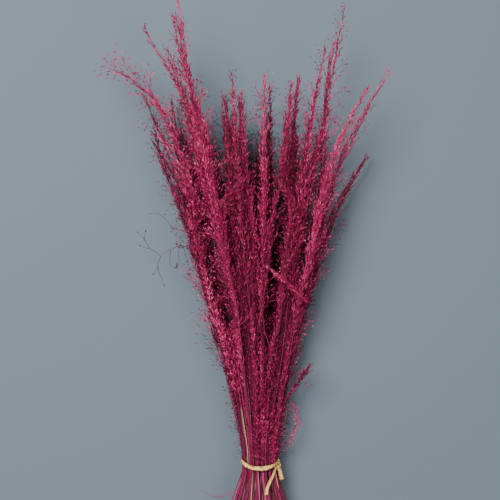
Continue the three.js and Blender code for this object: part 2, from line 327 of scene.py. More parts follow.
def stalk_mesh(name, head, airiness, spacing, longest):
    """A straight stalk with a panicle of the given length, and how long its branches get."""
    shape = new_shape()
    culm = culm_mesh(head)
    shape.from_mesh(culm)
    bpy.data.meshes.remove(culm)
    level = 0.0
    around = chance.uniform(0, math.tau)
    while level < LAST_WHORL:
        place = Vector((0, (level - 1) * head, 0))
        fuller = (1 - level) ** 0.9 * min(1, 0.6 + 2 * level)
        reach = TOP_REACH + (longest - TOP_REACH) * fuller
        whorl = 3 if level < SMALL_WHORLS_FROM else 2
        for number in range(whorl):
            around += math.tau / whorl + chance.uniform(-0.6, 0.6)
            airy = chance.random() < airiness
            kinds = airy_branches if airy else close_branches
            wanted = reach * chance.uniform(0.55, 1.05)
            length, mesh = min(kinds, key=lambda kind: abs(kind[0] - wanted))
            lean = chance.uniform(*(AIRY_LEAN if airy else CLOSE_LEAN))
            heading = tilted(UP, math.radians(lean), around)
            longer = Matrix.Diagonal((1, min(1.2, max(0.85, wanted / length)), 1, 1))
            turned = aim(place, heading, chance.uniform(0, math.tau)) @ longer
            add_copy(shape, mesh, turned, tone=chance.normal(0, 0.06))
        level += (spacing - 0.55 * spacing * level) / head * chance.uniform(0.75, 1.25)
    for number in range(TIP_HUSKS):
        heading = tilted(UP, 0.2 * number, chance.uniform(0, math.tau))
        start = Vector((0, -number * 2 * MM, 0))
        add_copy(shape, HUSKS[0], aim(start, heading) @ sized(*TIP_HUSK), row=number)
    return head, finished(shape, name)


TALL = [
    stalk_mesh("tall_stalk_%d" % number, 225 * MM, airiness, 13 * MM, 34 * MM)
    for number, airiness in enumerate((0.1, 0.14, 0.2, 0.26, 0.34, 0.5))
]
MIDDLE = [
    stalk_mesh("middle_stalk_%d" % number, 150 * MM, airiness, 12 * MM, 27 * MM)
    for number, airiness in enumerate((0.08, 0.15, 0.25))
]
SHORT = [
    stalk_mesh("short_stalk_%d" % number, 80 * MM, airiness, 9 * MM, 18 * MM)
    for number, airiness in enumerate((0.06, 0.14, 0.22))
]
LOW = [
    stalk_mesh("low_stalk_%d" % number, 42 * MM, airiness, 7 * MM, 12 * MM)
    for number, airiness in enumerate((0.05, 0.2))
]
BARE = (60 * MM, culm_mesh(60 * MM))

# Dyed grass: culms, branches and husks took the raspberry dye unevenly, from plum to pink
# and mauve, and a few culms are still straw-coloured near their cut ends. The dry surface is
# dull, with fine ribs along it.
PATCHINESS = 0.5
PALER_TIP = 0.14
PALER_CUT = 1.3
# Its dark end also serves as painted shade, for the wisps deep in the bunch.
DYED = [
    (0.0, (0.015, 0.0008, 0.004)),
    (0.25, (0.1, 0.003, 0.024)),
    (0.5, (0.34, 0.007, 0.07)),
    (0.7, (0.68, 0.03, 0.18)),
    (0.86, (0.88, 0.13, 0.33)),
    (1.0, (0.92, 0.32, 0.45)),
]
CULMS = [
    (0.0, (0.04, 0.002, 0.012)),
    (0.35, (0.14, 0.005, 0.038)),
    (0.58, (0.4, 0.014, 0.1)),
    (0.72, (0.52, 0.085, 0.2)),
    (0.83, (0.7, 0.42, 0.26)),
    (1.0, (0.85, 0.6, 0.24)),
]


class Nodes:
    """Adds and joins the nodes of one material."""

    def __init__(self, name):
        self.material = bpy.data.materials.new(name)
        self.material.use_nodes = True
        self.tree = self.material.node_tree
        self.shader = self.tree.nodes["Principled BSDF"]

    def add(self, kind, inputs=(), **settings):
        node = self.tree.nodes.new(kind)
        for name, value in settings.items():
            setattr(node, name, value)
        for name, value in dict(inputs).items():
            self.give(node.inputs[name], value)
        return node

    def give(self, socket, value):
        if isinstance(value, bpy.types.NodeSocket):
            self.tree.links.new(value, socket)
        else:
            socket.default_value = value

    def maths(self, operation, *values):
        node = self.add("ShaderNodeMath", operation=operation)
        for socket, value in zip(node.inputs, values):
            self.give(socket, value)
        return node.outputs[0]

    def ramp(self, factor, stops):
        node = self.add("ShaderNodeValToRGB", {"Fac": factor})
        points = node.color_ramp.elements
        while len(points) < len(stops):
            points.new(0.5)
        for point, (place, colour) in zip(points, stops):
            point.position = place
            point.color = (*colour, 1)
        return node.outputs[0]

    def grey_ramp(self, factor, stops):
        return self.ramp(factor, [(place, (value,) * 3) for place, value in stops])

    def noise(self, place, scale, detail):
        moved = self.add("ShaderNodeMapping", {"Vector": place, "Scale": scale}).outputs[0]
        inputs = {"Vector": moved, "Scale": 1.0, "Detail": detail}
        return self.add("ShaderNodeTexNoise", inputs).outputs[0]

    def mix(self, factor, first, second, blend="MIX"):
        node = self.add("ShaderNodeMix", data_type="RGBA", blend_type=blend)
        # A Mix node has sockets for numbers and vectors too; 6, 7 and 2 are its colours.
        self.give(node.inputs[0], factor)
        self.give(node.inputs[6], first)
        self.give(node.inputs[7], second)
        return node.outputs[2]


def grass_material():
    nodes = Nodes("dyed_grass")
    place = nodes.add("ShaderNodeUVMap", uv_map=GRASS_MAP).outputs[0]
    split = nodes.add("ShaderNodeSeparateXYZ", {0: place})
    tone, height = split.outputs[0], split.outputs[1]
    on_culm = nodes.maths("GREATER_THAN", height, 0.5)
    patches = nodes.noise(place, (14, 24, 1), 3.0)
    ribs = nodes.noise(place, (420, 30, 1), 2.0)
    patchy = nodes.maths("SUBTRACT", patches, 0.5)
    uneven = nodes.maths("MULTIPLY_ADD", patchy, PATCHINESS, tone)
    # Husks: darker at the foot, paler towards the papery tip.
    along = nodes.maths("FRACT", nodes.maths("DIVIDE", height, ROW_HEIGHT))
    above_foot = nodes.maths("SUBTRACT", along, 0.45)
    husk_tone = nodes.maths("MULTIPLY_ADD", above_foot, PALER_TIP, uneven)
    husk = nodes.ramp(husk_tone, DYED)
    # Culms: less dyed towards their cut ends.
    below_tie = nodes.maths("MAXIMUM", nodes.maths("SUBTRACT", STEMS_AT_TIE, height), 0.0)
    culm_tone = nodes.maths("MULTIPLY_ADD", below_tie, PALER_CUT, uneven)
    culm = nodes.ramp(culm_tone, CULMS)
    colour = nodes.mix(on_culm, husk, culm)
    streaks = nodes.grey_ramp(ribs, [(0.3, 0.72), (0.7, 1.12)])
    nodes.give(nodes.shader.inputs["Base Color"], nodes.mix(1.0, colour, streaks, "MULTIPLY"))
    rough = nodes.maths("MULTIPLY_ADD", ribs, 0.4, 0.3)
    nodes.give(nodes.shader.inputs["Roughness"], rough)
    bump = nodes.add("ShaderNodeBump", {"Height": ribs, "Strength": 0.5, "Distance": 0.15 * MM})
    nodes.give(nodes.shader.inputs["Normal"], bump.outputs[0])
    nodes.shader.inputs["Specular IOR Level"].default_value = 0.3
    return nodes.material


DYED_GRASS = grass_material()

# Wisps: the stalks, gathered by hand and bent by the tie, a dozen or two to each wisp of the
# frame, some with a panicle and some bare. Each follows its wisp's line at its own distance,
# wavers a little, and ends at its own height, so that the bunch is full down to the tie.
# Wisps in the middle of the bunch and those lying low get a darker tone: painted shade where the
# bunch is deep.
WISPS = sorted(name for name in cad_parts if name.startswith("wisp_"))
INNER_WISPS = 16  # the first ones are in the middle of the bunch
BARE_CULMS = 7
DEEP_BELOW = -6 * MM  # from the tie's middle; these wisps and the inner ones get a darker tone, painted shade
DEEP_CULMS = 7  # more bare culms in them
USUAL_TONE = 0.47  # of branches and husks
DEEP_PAINTED_SHADE = (-0.25, 0.085)  # painted shade: how much darker a deep wisp's husks and branches are, and how much that varies
OUTER_PALER = (0.02, 0.085)
STALK_TONES = (0, 0.07)
CULM_TONE_VARIES = (0, 0.05)
SPACINGS = (0.1, 0.85)  # of stalks from their wisp's line, as shares of its radius
HEAD_SIZES = (0.88, 1.12)
PANICLE_WIDTHS = (0.9, 1.3)
UNEVEN_CUTS = 7 * MM
CULM_TONES = (0.1, 0.45, 0.64, 0.95)  # dark, raspberry, mauve and straw
HIGH_SHARES = (0.52, 0.48, 0, 0)
LOW_SHARES = (0.35, 0.4, 0.23, 0.02)  # of culms that end low in the bunch
LOW_REACH = 0.24
CUT_SHARES = (0.5, 0.36, 0.09, 0.05)  # below the tie
STRAW_END = 0.148  # a few culms at the left stayed straw-coloured all their length
CLEAN_STEMS_FROM = -7 * MM  # from the tie's middle; to the left of it are no low stalks
LEFT_MASS = (-125 * MM, -60 * MM)  # between these the tips stand densest and waver most
LEFT_MASS_WAVER = 2
OPEN_PLUME_FROM = -140 * MM  # the plume that points furthest to the left is open and pale
OPEN_PLUME_SPREAD = 1.5
OPEN_PLUME_PALER = 0.14
LOW_SPREAD = 1.25
# how far up their wisp stalks of each kind end, as shares of its length above the tie
NEXT_TALL = (0.9, 0.99)
THIRD_TALL = (0.82, 0.92)
LEFT_MASS_TALL = (0.8, 0.96)
MIDDLES = ((0.55, 0.8), (0.36, 0.55))
INNER_SHORT = (0.77, 0.9)
OUTER_SHORT = (0.2, 0.38)
LOWS = ((0.05, 0.08, 0.13), (0.1, 0.15, 0.23))  # lowest and highest ends of three
BARE_ENDS = (0.2, 0.5)
CLEAN_BARE_ENDS = (0.12, 0.3)
DEEP_ENDS = (0.45, 0.85)
LINE_STEP = 2 * MM
SAME_RING = 0.2 * MM
STRIP_TOP = 8 * MM  # the tie's upper edge, above its middle
TIE_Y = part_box("raffia_tie")[1][1] - STRIP_TOP


def smooth_through(levels, values, at):
    """A smooth line through values given at levels, read at other levels."""
    slopes = np.gradient(values, levels, axis=0)
    index = np.clip(np.searchsorted(levels, at) - 1, 0, len(levels) - 2)
    step = (levels[index + 1] - levels[index])[:, None]
    share = (at - levels[index])[:, None] / step
    first, second = values[index], values[index + 1]
    start, end = slopes[index] * step, slopes[index + 1] * step
    return (
        (2 * share**3 - 3 * share**2 + 1) * first
        + (share**3 - 2 * share**2 + share) * start
        + (3 * share**2 - 2 * share**3) * second
        + (share**3 - share**2) * end
    )


class Line:
    """The middle line and radius of a wisp of the frame, read from its rings."""

    def __init__(self, name):
        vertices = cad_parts[name].data.vertices
        points = np.empty(len(vertices) * 3, np.float32)
        vertices.foreach_get("co", points)
        points = np.unique(points.reshape(-1, 3).round(5), axis=0)
        levels = np.unique(points[:, 1].round(4))
        rings = [points[abs(points[:, 1] - level) < SAME_RING] for level in levels]
        middles = np.array([ring.mean(0) for ring in rings])
        radii = np.array([[np.hypot(*(ring - ring.mean(0))[:, ::2].T).max()] for ring in rings])
        self.cut, self.tip = levels[0], levels[-1]
        self.levels = np.arange(self.cut, self.tip + LINE_STEP, LINE_STEP)
        at = np.minimum(self.levels, self.tip)
        self.middle = smooth_through(levels, middles, at)
        self.radius = np.maximum(smooth_through(levels, radii, at)[:, 0], 0)

    def at(self, y):
        """Its middle and radius at one level."""
        middle = [np.interp(y, self.levels, self.middle[:, axis]) for axis in range(3)]
        return np.array(middle), np.interp(y, self.levels, self.radius)


LINES = {name: Line(name) for name in WISPS}
WAIST = np.mean([line.at(TIE_Y)[0] for line in LINES.values()], axis=0)
WAIST_RADIUS = max(
    np.hypot(*(line.at(TIE_Y)[0] - WAIST)[::2]) + line.at(TIE_Y)[1] for line in LINES.values()
)
HIGHEST = cad_box[1][2] + 8 * MM  # what husks on the top may reach
PRESS_SOFT = 0.8 * MM


def pressed(heights):
    """Lays what would sink into the floor flat on it, and holds down what stands too high."""
    heights = HIGHEST - PRESS_SOFT * np.logaddexp(0, (HIGHEST - heights) / PRESS_SOFT)
    return PRESS_SOFT * np.logaddexp(0, heights / PRESS_SOFT)


def bent_along(levels, line, grown, head, cut, tip, spread):
    """How a straight stalk is bent along a line, with its cut end and tip at their levels."""
    ahead = np.gradient(line, levels, axis=0)
    ahead /= np.linalg.norm(ahead, axis=1)[:, None]
    aside = np.cross(ahead, (0, 0, 1))
    aside /= np.linalg.norm(aside, axis=1)[:, None]
    above = np.cross(aside, ahead)

    def read(table, at):
        return np.stack([np.interp(at, levels, table[:, axis]) for axis in range(3)], axis=1)

    def bend(points):
        foot = tip - head
        in_head = tip + points[:, 1] * head / grown
        in_culm = foot + (points[:, 1] + grown) * (foot - cut) / CULM
        at = np.where(points[:, 1] > -grown, in_head, in_culm)
        # The husks past the tip go straight on.
        reach = np.clip(at, levels[0], levels[-1])
        placed = read(line, reach) + read(ahead, reach) * (at - reach)[:, None]
        widths = np.where(points[:, 1] > -grown, spread, 1)
        placed += read(aside, reach) * (points[:, :1] * widths[:, None])
        placed += read(above, reach) * (points[:, 2:] * widths[:, None])
        placed[:, 2] = pressed(placed[:, 2])
        return placed

    return bend


def from_tie(across, along, height):
    """A place given in millimetres from the middle of the tie, and above the floor."""
    return np.array((WAIST[0] + across * MM, TIE_Y + along * MM, height * MM))


# Places where the stalks part: at two the upper ones, so that the dark inside shows, and at
# the right all of them. Each has its lower and upper end, across and along from the tie, how
# far the stalks stay from its middle, and the height above which they do, all in millimetres.
PARTINGS = [
    ((-36, 164), (-60, 268), 13, 8),
    ((10, 156), (26, 290), 10, 14),
    ((46, 222), (64, 330), 6, -10),
]
PART_ENDS = 35 * MM
PART_FADE = 7 * MM
PART_SOFT = 2.5 * MM


def parted(levels, path):
    """Keeps a stalk on its own side of each parting."""
    for lower, upper, clear, above in PARTINGS:
        low, far = from_tie(*lower, 0), from_tie(*upper, 0)
        middle = np.interp(levels, (low[1], far[1]), (low[0], far[0]))
        inside = np.clip((levels - low[1] + PART_ENDS) / PART_ENDS, 0, 1)
        inside = inside * np.clip((far[1] + PART_ENDS - levels) / PART_ENDS, 0, 1)
        high = np.clip((path[:, 2] - above * MM) / PART_FADE, 0, 1)
        aside = path[:, 0] - middle
        side = np.sign(np.interp((low[1] + far[1]) / 2, levels, aside))
        lacking = (clear * MM - side * aside) / PART_SOFT
        path[:, 0] += side * PART_SOFT * np.logaddexp(0, lacking) * high * inside**2
    return path


HELD_WITHIN = 9 * MM  # of the tie's level, above and below it


def held_by_tie(levels, path):
    """Keeps the culms inside the tie, and lets them spread beyond it."""
    apart = path[:, ::2] - WAIST[::2]
    far = np.hypot(apart[:, 0], apart[:, 1])
    beyond = np.maximum(0, abs(levels - TIE_Y) - HELD_WITHIN)
    most = WAIST_RADIUS - CULM_RADIUS + 0.5 * beyond
    path[:, ::2] = WAIST[::2] + apart * np.minimum(1, most / far)[:, None]
    path[:, 2] = np.maximum(path[:, 2], CULM_RADIUS)
    return path


# Near their tips the stalks in the middle of the fan cling together in four plumes.
PLUME_TIPS = ((-32, 428), (4, 426), (35, 418), (69, 455))
CLING = 0.42
CLING_BELOW = TIE_Y + 440 * MM  # stalks that reach further stand by themselves
CLING_REACH = 22 * MM
CLING_FROM, CLING_TO = TIE_Y + 200 * MM, TIE_Y + 370 * MM


def line_to(across, along):
    """The wisp's line that ends nearest to a place."""
    place = from_tie(across, along, 0)[:2]
    return min(LINES.values(), key=lambda line: np.hypot(*(line.middle[-1][:2] - place)))


PLUMES = [line_to(*tip) for tip in PLUME_TIPS]


def clinging(levels, path, tip):
    """Draws a stalk towards the nearest plume, the more the nearer it is to its tip."""
    plume = min(PLUMES, key=lambda other: abs(other.middle[-1][0] - tip[0]))
    if abs(plume.middle[-1][0] - tip[0]) < CLING_REACH and tip[1] < CLING_BELOW:
        apart = np.interp(levels, plume.levels, plume.middle[:, 0]) - path[:, 0]
        share = np.clip((levels - CLING_FROM) / (CLING_TO - CLING_FROM), 0, 1)
        path[:, 0] += CLING * share**2 * (3 - 2 * share) * apart
    return path


WAVERS = ((2.2 * MM, 260 * MM), (1.2 * MM, 120 * MM))  # how far, and length of wave
WAVER_FULL = 70 * MM  # above the tie
SPREAD_BELOW = 0.045  # how much culms spread below the tie, as a slope


def wavering(own, line, keep, share, spacing, looser):
    """A stalk's own path through its wisp, on the levels that are kept."""
    levels = line.levels[keep]
    length = line.tip - TIE_Y
    above_tie = np.clip((levels - TIE_Y) / length, 0, 1)
    around = own.uniform(0, math.tau) + own.uniform(-1, 1) * above_tie
    apart = spacing * (line.radius[keep] + 0.5 * MM) * (1 - (share == 1) * above_tie)
    waver = np.zeros((len(levels), 2))
    for size, wave in WAVERS:
        phase = own.uniform(0, math.tau, 2)
        strength = own.normal(0, size, 2) * looser
        turns = (levels - TIE_Y)[:, None] / wave * math.tau
        waver += strength * np.sin(turns + phase) * (above_tie**0.8)[:, None]
    waver *= np.clip((levels - TIE_Y) / WAVER_FULL, 0, 1)[:, None]
    waver += own.normal(0, SPREAD_BELOW, 2) * np.maximum(0, TIE_Y - levels)[:, None]
    path = line.middle[keep].copy()
    path[:, 0] += apart * np.cos(around) + waver[:, 0]
    path[:, 2] += apart * np.sin(around) + waver[:, 1]
    clinging(levels, path, line.middle[-1])
    return held_by_tie(levels, parted(levels, path))


STRAW_CULMS = 3
STRAW_BESIDE = (-19 * MM, 7 * MM)  # at the tie, from its middle
STRAW_WISP = min(
    WISPS, key=lambda name: np.hypot(*((LINES[name].at(TIE_Y)[0] - WAIST)[::2] - STRAW_BESIDE))
)


def stalks_for(own, name, number, inner, deep, in_left_mass, far_left):
    """The kinds of stalk in a wisp, and how far up it each one ends."""
    beside = LINES[name].at(TIE_Y)[0] - WAIST
    clean = beside[0] < CLEAN_STEMS_FROM and beside[2] > 0
    tall = TALL[-1:] if far_left else TALL
    stalks = [(tall, 1), (tall, own.uniform(*NEXT_TALL))]
    stalks += [(MIDDLE, own.uniform(*ends)) for ends in MIDDLES]
    third = (TALL, own.uniform(*THIRD_TALL))
    if number % 2 and not (far_left or inner):
        stalks.append(third)
    if in_left_mass:
        stalks += [(TALL, own.uniform(*LEFT_MASS_TALL)) for _ in range(3)]
    stalks.append((SHORT, own.uniform(*(INNER_SHORT if inner else OUTER_SHORT))))
    if not (inner or clean):
        stalks += [(LOW, end) for end in own.uniform(*LOWS)]
    bare = CLEAN_BARE_ENDS if clean else BARE_ENDS
    stalks += [(None, own.uniform(*bare)) for _ in range(BARE_CULMS)]
    if name == STRAW_WISP:
        stalks += [(None, STRAW_END)] * STRAW_CULMS
    if deep:
        stalks += [(None, own.uniform(*DEEP_ENDS)) for _ in range(DEEP_CULMS)]
    return stalks


def wisp_piece(name, number):
    line = LINES[name]
    own = np.random.default_rng(100 + number)
    shape = new_shape()
    inner = number < INNER_WISPS
    deep = inner or line.at(TIE_Y)[0][2] - WAIST[2] < DEEP_BELOW
    far_left = line.middle[-1][0] < OPEN_PLUME_FROM
    in_left_mass = LEFT_MASS[0] < line.middle[-1][0] < LEFT_MASS[1]
    looser = LEFT_MASS_WAVER if in_left_mass else 1
    # Deep wisps get painted shade: their husks and branches are darker.
    wisp_tone = USUAL_TONE + own.normal(*(DEEP_PAINTED_SHADE if deep else OUTER_PALER))
    if far_left:
        wisp_tone += OPEN_PLUME_PALER
    stalks = stalks_for(own, name, number, inner, deep, in_left_mass, far_left)
    for kinds, share in stalks:
        tip = TIE_Y + (line.tip - TIE_Y) * share
        cut = line.cut + own.uniform(0, UNEVEN_CUTS)
        keep = line.levels <= tip + LINE_STEP
        path = wavering(own, line, keep, share, own.uniform(*SPACINGS), looser)
        grown, mesh = kinds[int(own.integers(len(kinds)))] if kinds else BARE
        head = min(grown * own.uniform(*HEAD_SIZES), (tip - TIE_Y) * 0.95)
        tone = wisp_tone + own.normal(*STALK_TONES) - HUSK_ACROSS / 2
        shares = LOW_SHARES if share < LOW_REACH else HIGH_SHARES
        below = own.choice(CULM_TONES, p=CUT_SHARES) + own.normal(*CULM_TONE_VARIES)
        above = own.choice(CULM_TONES, p=shares) + own.normal(*CULM_TONE_VARIES)
        if share == STRAW_END:
            above = CULM_TONES[-1]
        levels = line.levels[keep]
        spread = own.uniform(*PANICLE_WIDTHS)
        if kinds is LOW:
            spread *= LOW_SPREAD
        elif far_left:
            spread *= OPEN_PLUME_SPREAD
        bend = bent_along(levels, path, grown, head, cut, tip, spread)
        tie_share = (TIE_Y - cut) / (tip - head - cut) * CULM / (CULM + grown)
        turned = Matrix.Rotation(own.uniform(0, math.tau), 4, "Y")
        add_copy(shape, mesh, turned, tone=tone, bend=bend, culm=(tie_share, below, above))
    mesh = finished(shape, "stalks_" + name[-2:])
    mesh.materials.append(DYED_GRASS)
    piece = bpy.data.objects.new("stalks_" + name[-2:], mesh)
    bpy.context.collection.objects.link(piece)
    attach(piece, "root")
    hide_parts(name)


for number, name in enumerate(WISPS):
    wisp_piece(name, number)

# Raffia tie: one straw-coloured strip of palm leaf, once round the stems and half-knotted at
# the right, with a small eye and two tails cut off square. It has fine fibres along it, and
# its edges and a few patches have dried brown.
STRIP_WIDTH = 5 * MM
STRIP_THICKNESS = 0.4 * MM
STRIP_OFF_STEMS = 0.62 * MM  # its middle
SIDE_HEIGHT = 5.5 * MM  # the strip's middle at the sides of the bunch, along it
SAG = 7.5 * MM  # how much lower it lies on top of the bunch
KNOT_ANGLE = 0.3
KNOT_Y = TIE_Y + 3 * MM
BAND_ON_MAP = 0.24  # each strip has its own band of the map, and lies in it
STRIP_ON_MAP = 0.18
MAP_MARGIN = 0.02
ALONG_ON_MAP = 0.94
KNOT_NARROWER = 0.34
# wrinkles of the strip round the stems: turns round the bunch, turns across it, and size
WRINKLES = ((9, 2, 0.08 * MM), (23, 0, 0.05 * MM))
EDGE_WAVE = (5, 1.5, 0.2 * MM)
CURL = 0.16 * MM  # of its edges, away from the stems
KNOT_OFF_STEMS = 1.3 * MM
KNOT_LOOP = (1.5 * MM, 3.4 * MM)  # its radius off the stems and along them
EYE_MIDDLE = (-1.4 * MM, 0, 2.4 * MM)
EYE_OFF_STEMS = 2.1 * MM
EYE_BELOW_KNOT = 2.6 * MM
EYE_SIZE = (2.9, 2.3, 0.9)
TAIL_OFF_STEMS = 0.9 * MM
TAIL_BELOW_KNOT = 1.5 * MM
TAIL_START = 0.72  # its width at the knot, as a share of its full width


def strip(band, steps, place, closed=False):
    """A flat strip; place turns shares of its length and half width into a place."""
    shape = new_shape()
    layer = shape.loops.layers.uv[GRASS_MAP]
    bmesh.ops.create_grid(shape, x_segments=steps, y_segments=6, size=0.5)
    band_at = MAP_MARGIN + band * BAND_ON_MAP
    for face in shape.faces:
        face.smooth = True
        for loop in face.loops:
            along, across, _ = loop.vert.co
            loop[layer].uv = (band_at + STRIP_ON_MAP * (across + 0.5), 0.5 + ALONG_ON_MAP * along)
    for vert in shape.verts:
        vert.co = place(vert.co.x + 0.5, 2 * vert.co.y)
    if closed:
        bmesh.ops.remove_doubles(shape, verts=shape.verts, dist=0.02 * MM)
    return finished(shape, "strip")


def outwards(angle):
    return np.array((math.cos(angle), 0, math.sin(angle)))


def reach_at(angle, y):
    """How far the stems reach from the middle of the tie's level, near a direction."""
    reach = 0
    for turn in (-0.15, 0, 0.15):
        out = outwards(angle + turn)
        for line in LINES.values():
            middle, radius = line.at(y)
            middle = middle - WAIST
            along = middle[0] * out[0] + middle[2] * out[2]
            aside = middle[0] * out[2] - middle[2] * out[0]
            if abs(aside) < radius:
                reach = max(reach, along + math.sqrt(radius**2 - aside**2))
    return reach


def ripple(angle, across, turns, skew, size):
    return size * math.sin(turns * angle + skew * across)


def round_stems(share, across):
    """The strip round the stems, narrower where it runs into the knot."""
    angle = KNOT_ANGLE + share * math.tau
    from_knot = min(share, 1 - share) * math.tau
    half = STRIP_WIDTH / 2 * (1 - KNOT_NARROWER * math.exp(-((from_knot / 0.7) ** 2)))
    wrinkle = sum(ripple(angle, across, *kind) for kind in WRINKLES)
    out = WAIST_RADIUS + STRIP_OFF_STEMS + wrinkle + CURL * across**2
    sag = SIDE_HEIGHT - SAG * max(0, math.sin(angle)) ** 1.3
    y = TIE_Y + sag + across * half + ripple(angle, across, *EDGE_WAVE)
    return WAIST + out * outwards(angle) + (0, y - WAIST[1], 0)


def round_knot(share, across):
    """The short loop that the knot makes round the strip."""
    turn = share * math.tau
    along_strip = np.array((-math.sin(KNOT_ANGLE), 0, math.cos(KNOT_ANGLE)))
    middle = WAIST + (WAIST_RADIUS + KNOT_OFF_STEMS) * outwards(KNOT_ANGLE)
    middle[1] = KNOT_Y
    aside = (1.9 * across + 0.9 * math.sin(turn)) * MM
    return (
        middle
        + outwards(KNOT_ANGLE) * KNOT_LOOP[0] * math.cos(turn)
        + np.array((0, KNOT_LOOP[1] * math.sin(turn), 0))
        + along_strip * aside
    )


def eye(share, across):
    """The small open eye below the knot."""
    turn = share * math.tau
    middle = WAIST + (WAIST_RADIUS + EYE_OFF_STEMS) * outwards(KNOT_ANGLE) + EYE_MIDDLE
    middle[1] = KNOT_Y - EYE_BELOW_KNOT
    ring = np.array((math.cos(turn), math.sin(turn), math.sin(turn + 1))) * EYE_SIZE
    return middle + (ring * (1 + 0.2 * across) + (0, 0, 0.75 * across)) * MM


def tail(drop, turn, width, stand, crease, facing_up):
    """A tail from the knot; facing_up turns its flat side from the stems to the sky."""

    def direction(share):
        return KNOT_ANGLE + turn * math.sin(math.pi / 2 * share)

    def level(share):
        return KNOT_Y - TAIL_BELOW_KNOT - drop * share

    stops = (0, 0.5, 1)
    stems = np.polyfit(stops, [reach_at(direction(stop), level(stop)) for stop in stops], 2)

    def path(share):
        rise = min(1, max(0, 2 * share))
        out = outwards(direction(share))
        far = np.polyval(stems, share) + TAIL_OFF_STEMS + stand * rise**2 * (3 - 2 * rise)
        normal = out * (1 - facing_up) + np.array((0, 0, facing_up))
        place = WAIST + far * out + (0, level(share) - WAIST[1], 0)
        return place, normal / np.linalg.norm(normal)

    places = {}

    def place(share, across):
        key = round(share, 4)
        if key not in places:
            middle, out = path(share)
            ahead = path(share + 0.08)[0] - path(share - 0.08)[0]
            side = np.cross(ahead / np.linalg.norm(ahead), out)
            places[key] = (middle, out, side)
        middle, out, side = places[key]
        half = width / 2 * (TAIL_START + (1 - TAIL_START) * share)
        lift = crease * abs(across) + 0.15 * MM * math.sin(6 * share + 2 * across)
        return middle + side * across * half + out * lift

    return place


DARK_STRAW = (0.74, 0.44, 0.08)
PALE_STRAW = (0.95, 0.7, 0.19)
DRIED_BROWN = (0.36, 0.15, 0.05)
MOTTLING = 0.6
BROWNER_EDGES = 0.3


def raffia_material():
    nodes = Nodes("raffia")
    place = nodes.add("ShaderNodeUVMap", uv_map=GRASS_MAP).outputs[0]
    fibres = nodes.noise(place, (95, 4, 1), 3.0)
    patches = nodes.noise(place, (9, 11, 1), 2.0)
    flecks = nodes.noise(place, (9, 42, 1), 1.0)
    across = nodes.add("ShaderNodeSeparateXYZ", {0: place}).outputs[0]
    bands = nodes.maths("DIVIDE", nodes.maths("SUBTRACT", across, MAP_MARGIN), BAND_ON_MAP)
    in_band = nodes.maths("FRACT", bands)
    # Across the strip, from 0 at one edge to 1 at the other.
    on_strip = nodes.maths("DIVIDE", in_band, STRIP_ON_MAP / BAND_ON_MAP)
    from_middle = nodes.maths("ABSOLUTE", nodes.maths("SUBTRACT", on_strip, 0.5))
    mottled = nodes.maths("MULTIPLY", nodes.maths("ADD", patches, flecks), MOTTLING)
    brown = nodes.maths("MULTIPLY_ADD", from_middle, BROWNER_EDGES, mottled)
    dried = nodes.grey_ramp(brown, [(0.68, 0.0), (0.73, 1.0)])
    straw = nodes.ramp(fibres, [(0.3, DARK_STRAW), (0.7, PALE_STRAW)])
    colour = nodes.mix(dried, straw, (*DRIED_BROWN, 1))
    nodes.give(nodes.shader.inputs["Base Color"], colour)
    nodes.give(nodes.shader.inputs["Roughness"], nodes.maths("MULTIPLY_ADD", fibres, 0.3, 0.4))
    bump = nodes.add("ShaderNodeBump", {"Height": fibres, "Strength": 0.6, "Distance": 0.2 * MM})
    nodes.give(nodes.shader.inputs["Normal"], bump.outputs[0])
    return nodes.material


long_tail = tail(32 * MM, 0.98, width=4.2 * MM, stand=1.2 * MM, crease=0.2 * MM, facing_up=0.4)
short_tail = tail(18 * MM, -0.16, width=4.8 * MM, stand=3.4 * MM, crease=0.7 * MM, facing_up=0.85)
tie_shape = new_shape()
for mesh in (
    strip(0, 120, round_stems, closed=True),
    strip(1, 20, round_knot, closed=True),
    strip(1, 24, eye, closed=True),
    strip(2, 26, long_tail),
    strip(3, 16, short_tail),
):
    tie_shape.from_mesh(mesh)
    bpy.data.meshes.remove(mesh)
tie_mesh = finished(tie_shape, "tied_strip")
tie_mesh.materials.append(raffia_material())
tied_strip = bpy.data.objects.new("tied_strip", tie_mesh)
bpy.context.collection.objects.link(tied_strip)
thick = tied_strip.modifiers.new("thickness", "SOLIDIFY")
thick.thickness = STRIP_THICKNESS
thick.offset = 0
rounder = tied_strip.modifiers.new("rounder", "SUBSURF")
rounder.levels = rounder.render_levels = 1
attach(tied_strip, "root")
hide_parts("raffia_tie")

# Loose sprigs: side branches that broke off or bent out when the bunch was tied. They lie
# across its front or hang at its right side just above the tie.
SPRIG_COPIES = ((0.4, 0.02), (2.7, -0.03))  # turned, and paler or darker
SPRIG_CULM = (0.01, 0.35, 0.35)  # all of it is above the tie
SPRIGS = [
    stalk_mesh("sprig_%d" % number, 40 * MM, airiness, 5 * MM, 8 * MM)
    for number, airiness in enumerate((0.05, 0.7))
]


ROUTE_STEP = 1 * MM


def along_route(points):
    """A smooth route through points: distances along it, and places."""
    points = np.array(points)
    far = np.concatenate([[0], np.cumsum(np.linalg.norm(np.diff(points, axis=0), axis=1))])
    at = np.append(np.arange(0, far[-1], ROUTE_STEP), far[-1])
    return at, smooth_through(far, points, at)


def loose_piece(name, node, shape):
    mesh = finished(shape, name)
    mesh.materials.append(DYED_GRASS)
    piece = bpy.data.objects.new(name, mesh)
    bpy.context.collection.objects.link(piece)
    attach(piece, "root")
    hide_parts(node)


def sprig_piece(name, node, kind, tone, spread, copies, points):
    levels, route = along_route(points)
    grown, mesh = SPRIGS[kind]
    shape = new_shape()
    head = levels[-1] * 0.9
    for turn, shift in SPRIG_COPIES[:copies]:
        bend = bent_along(levels, route, grown, head, 0, levels[-1], spread)
        turned = Matrix.Rotation(turn, 4, "Y")
        add_copy(shape, mesh, turned, tone=tone + shift, bend=bend, culm=SPRIG_CULM)
    loose_piece(name, node, shape)


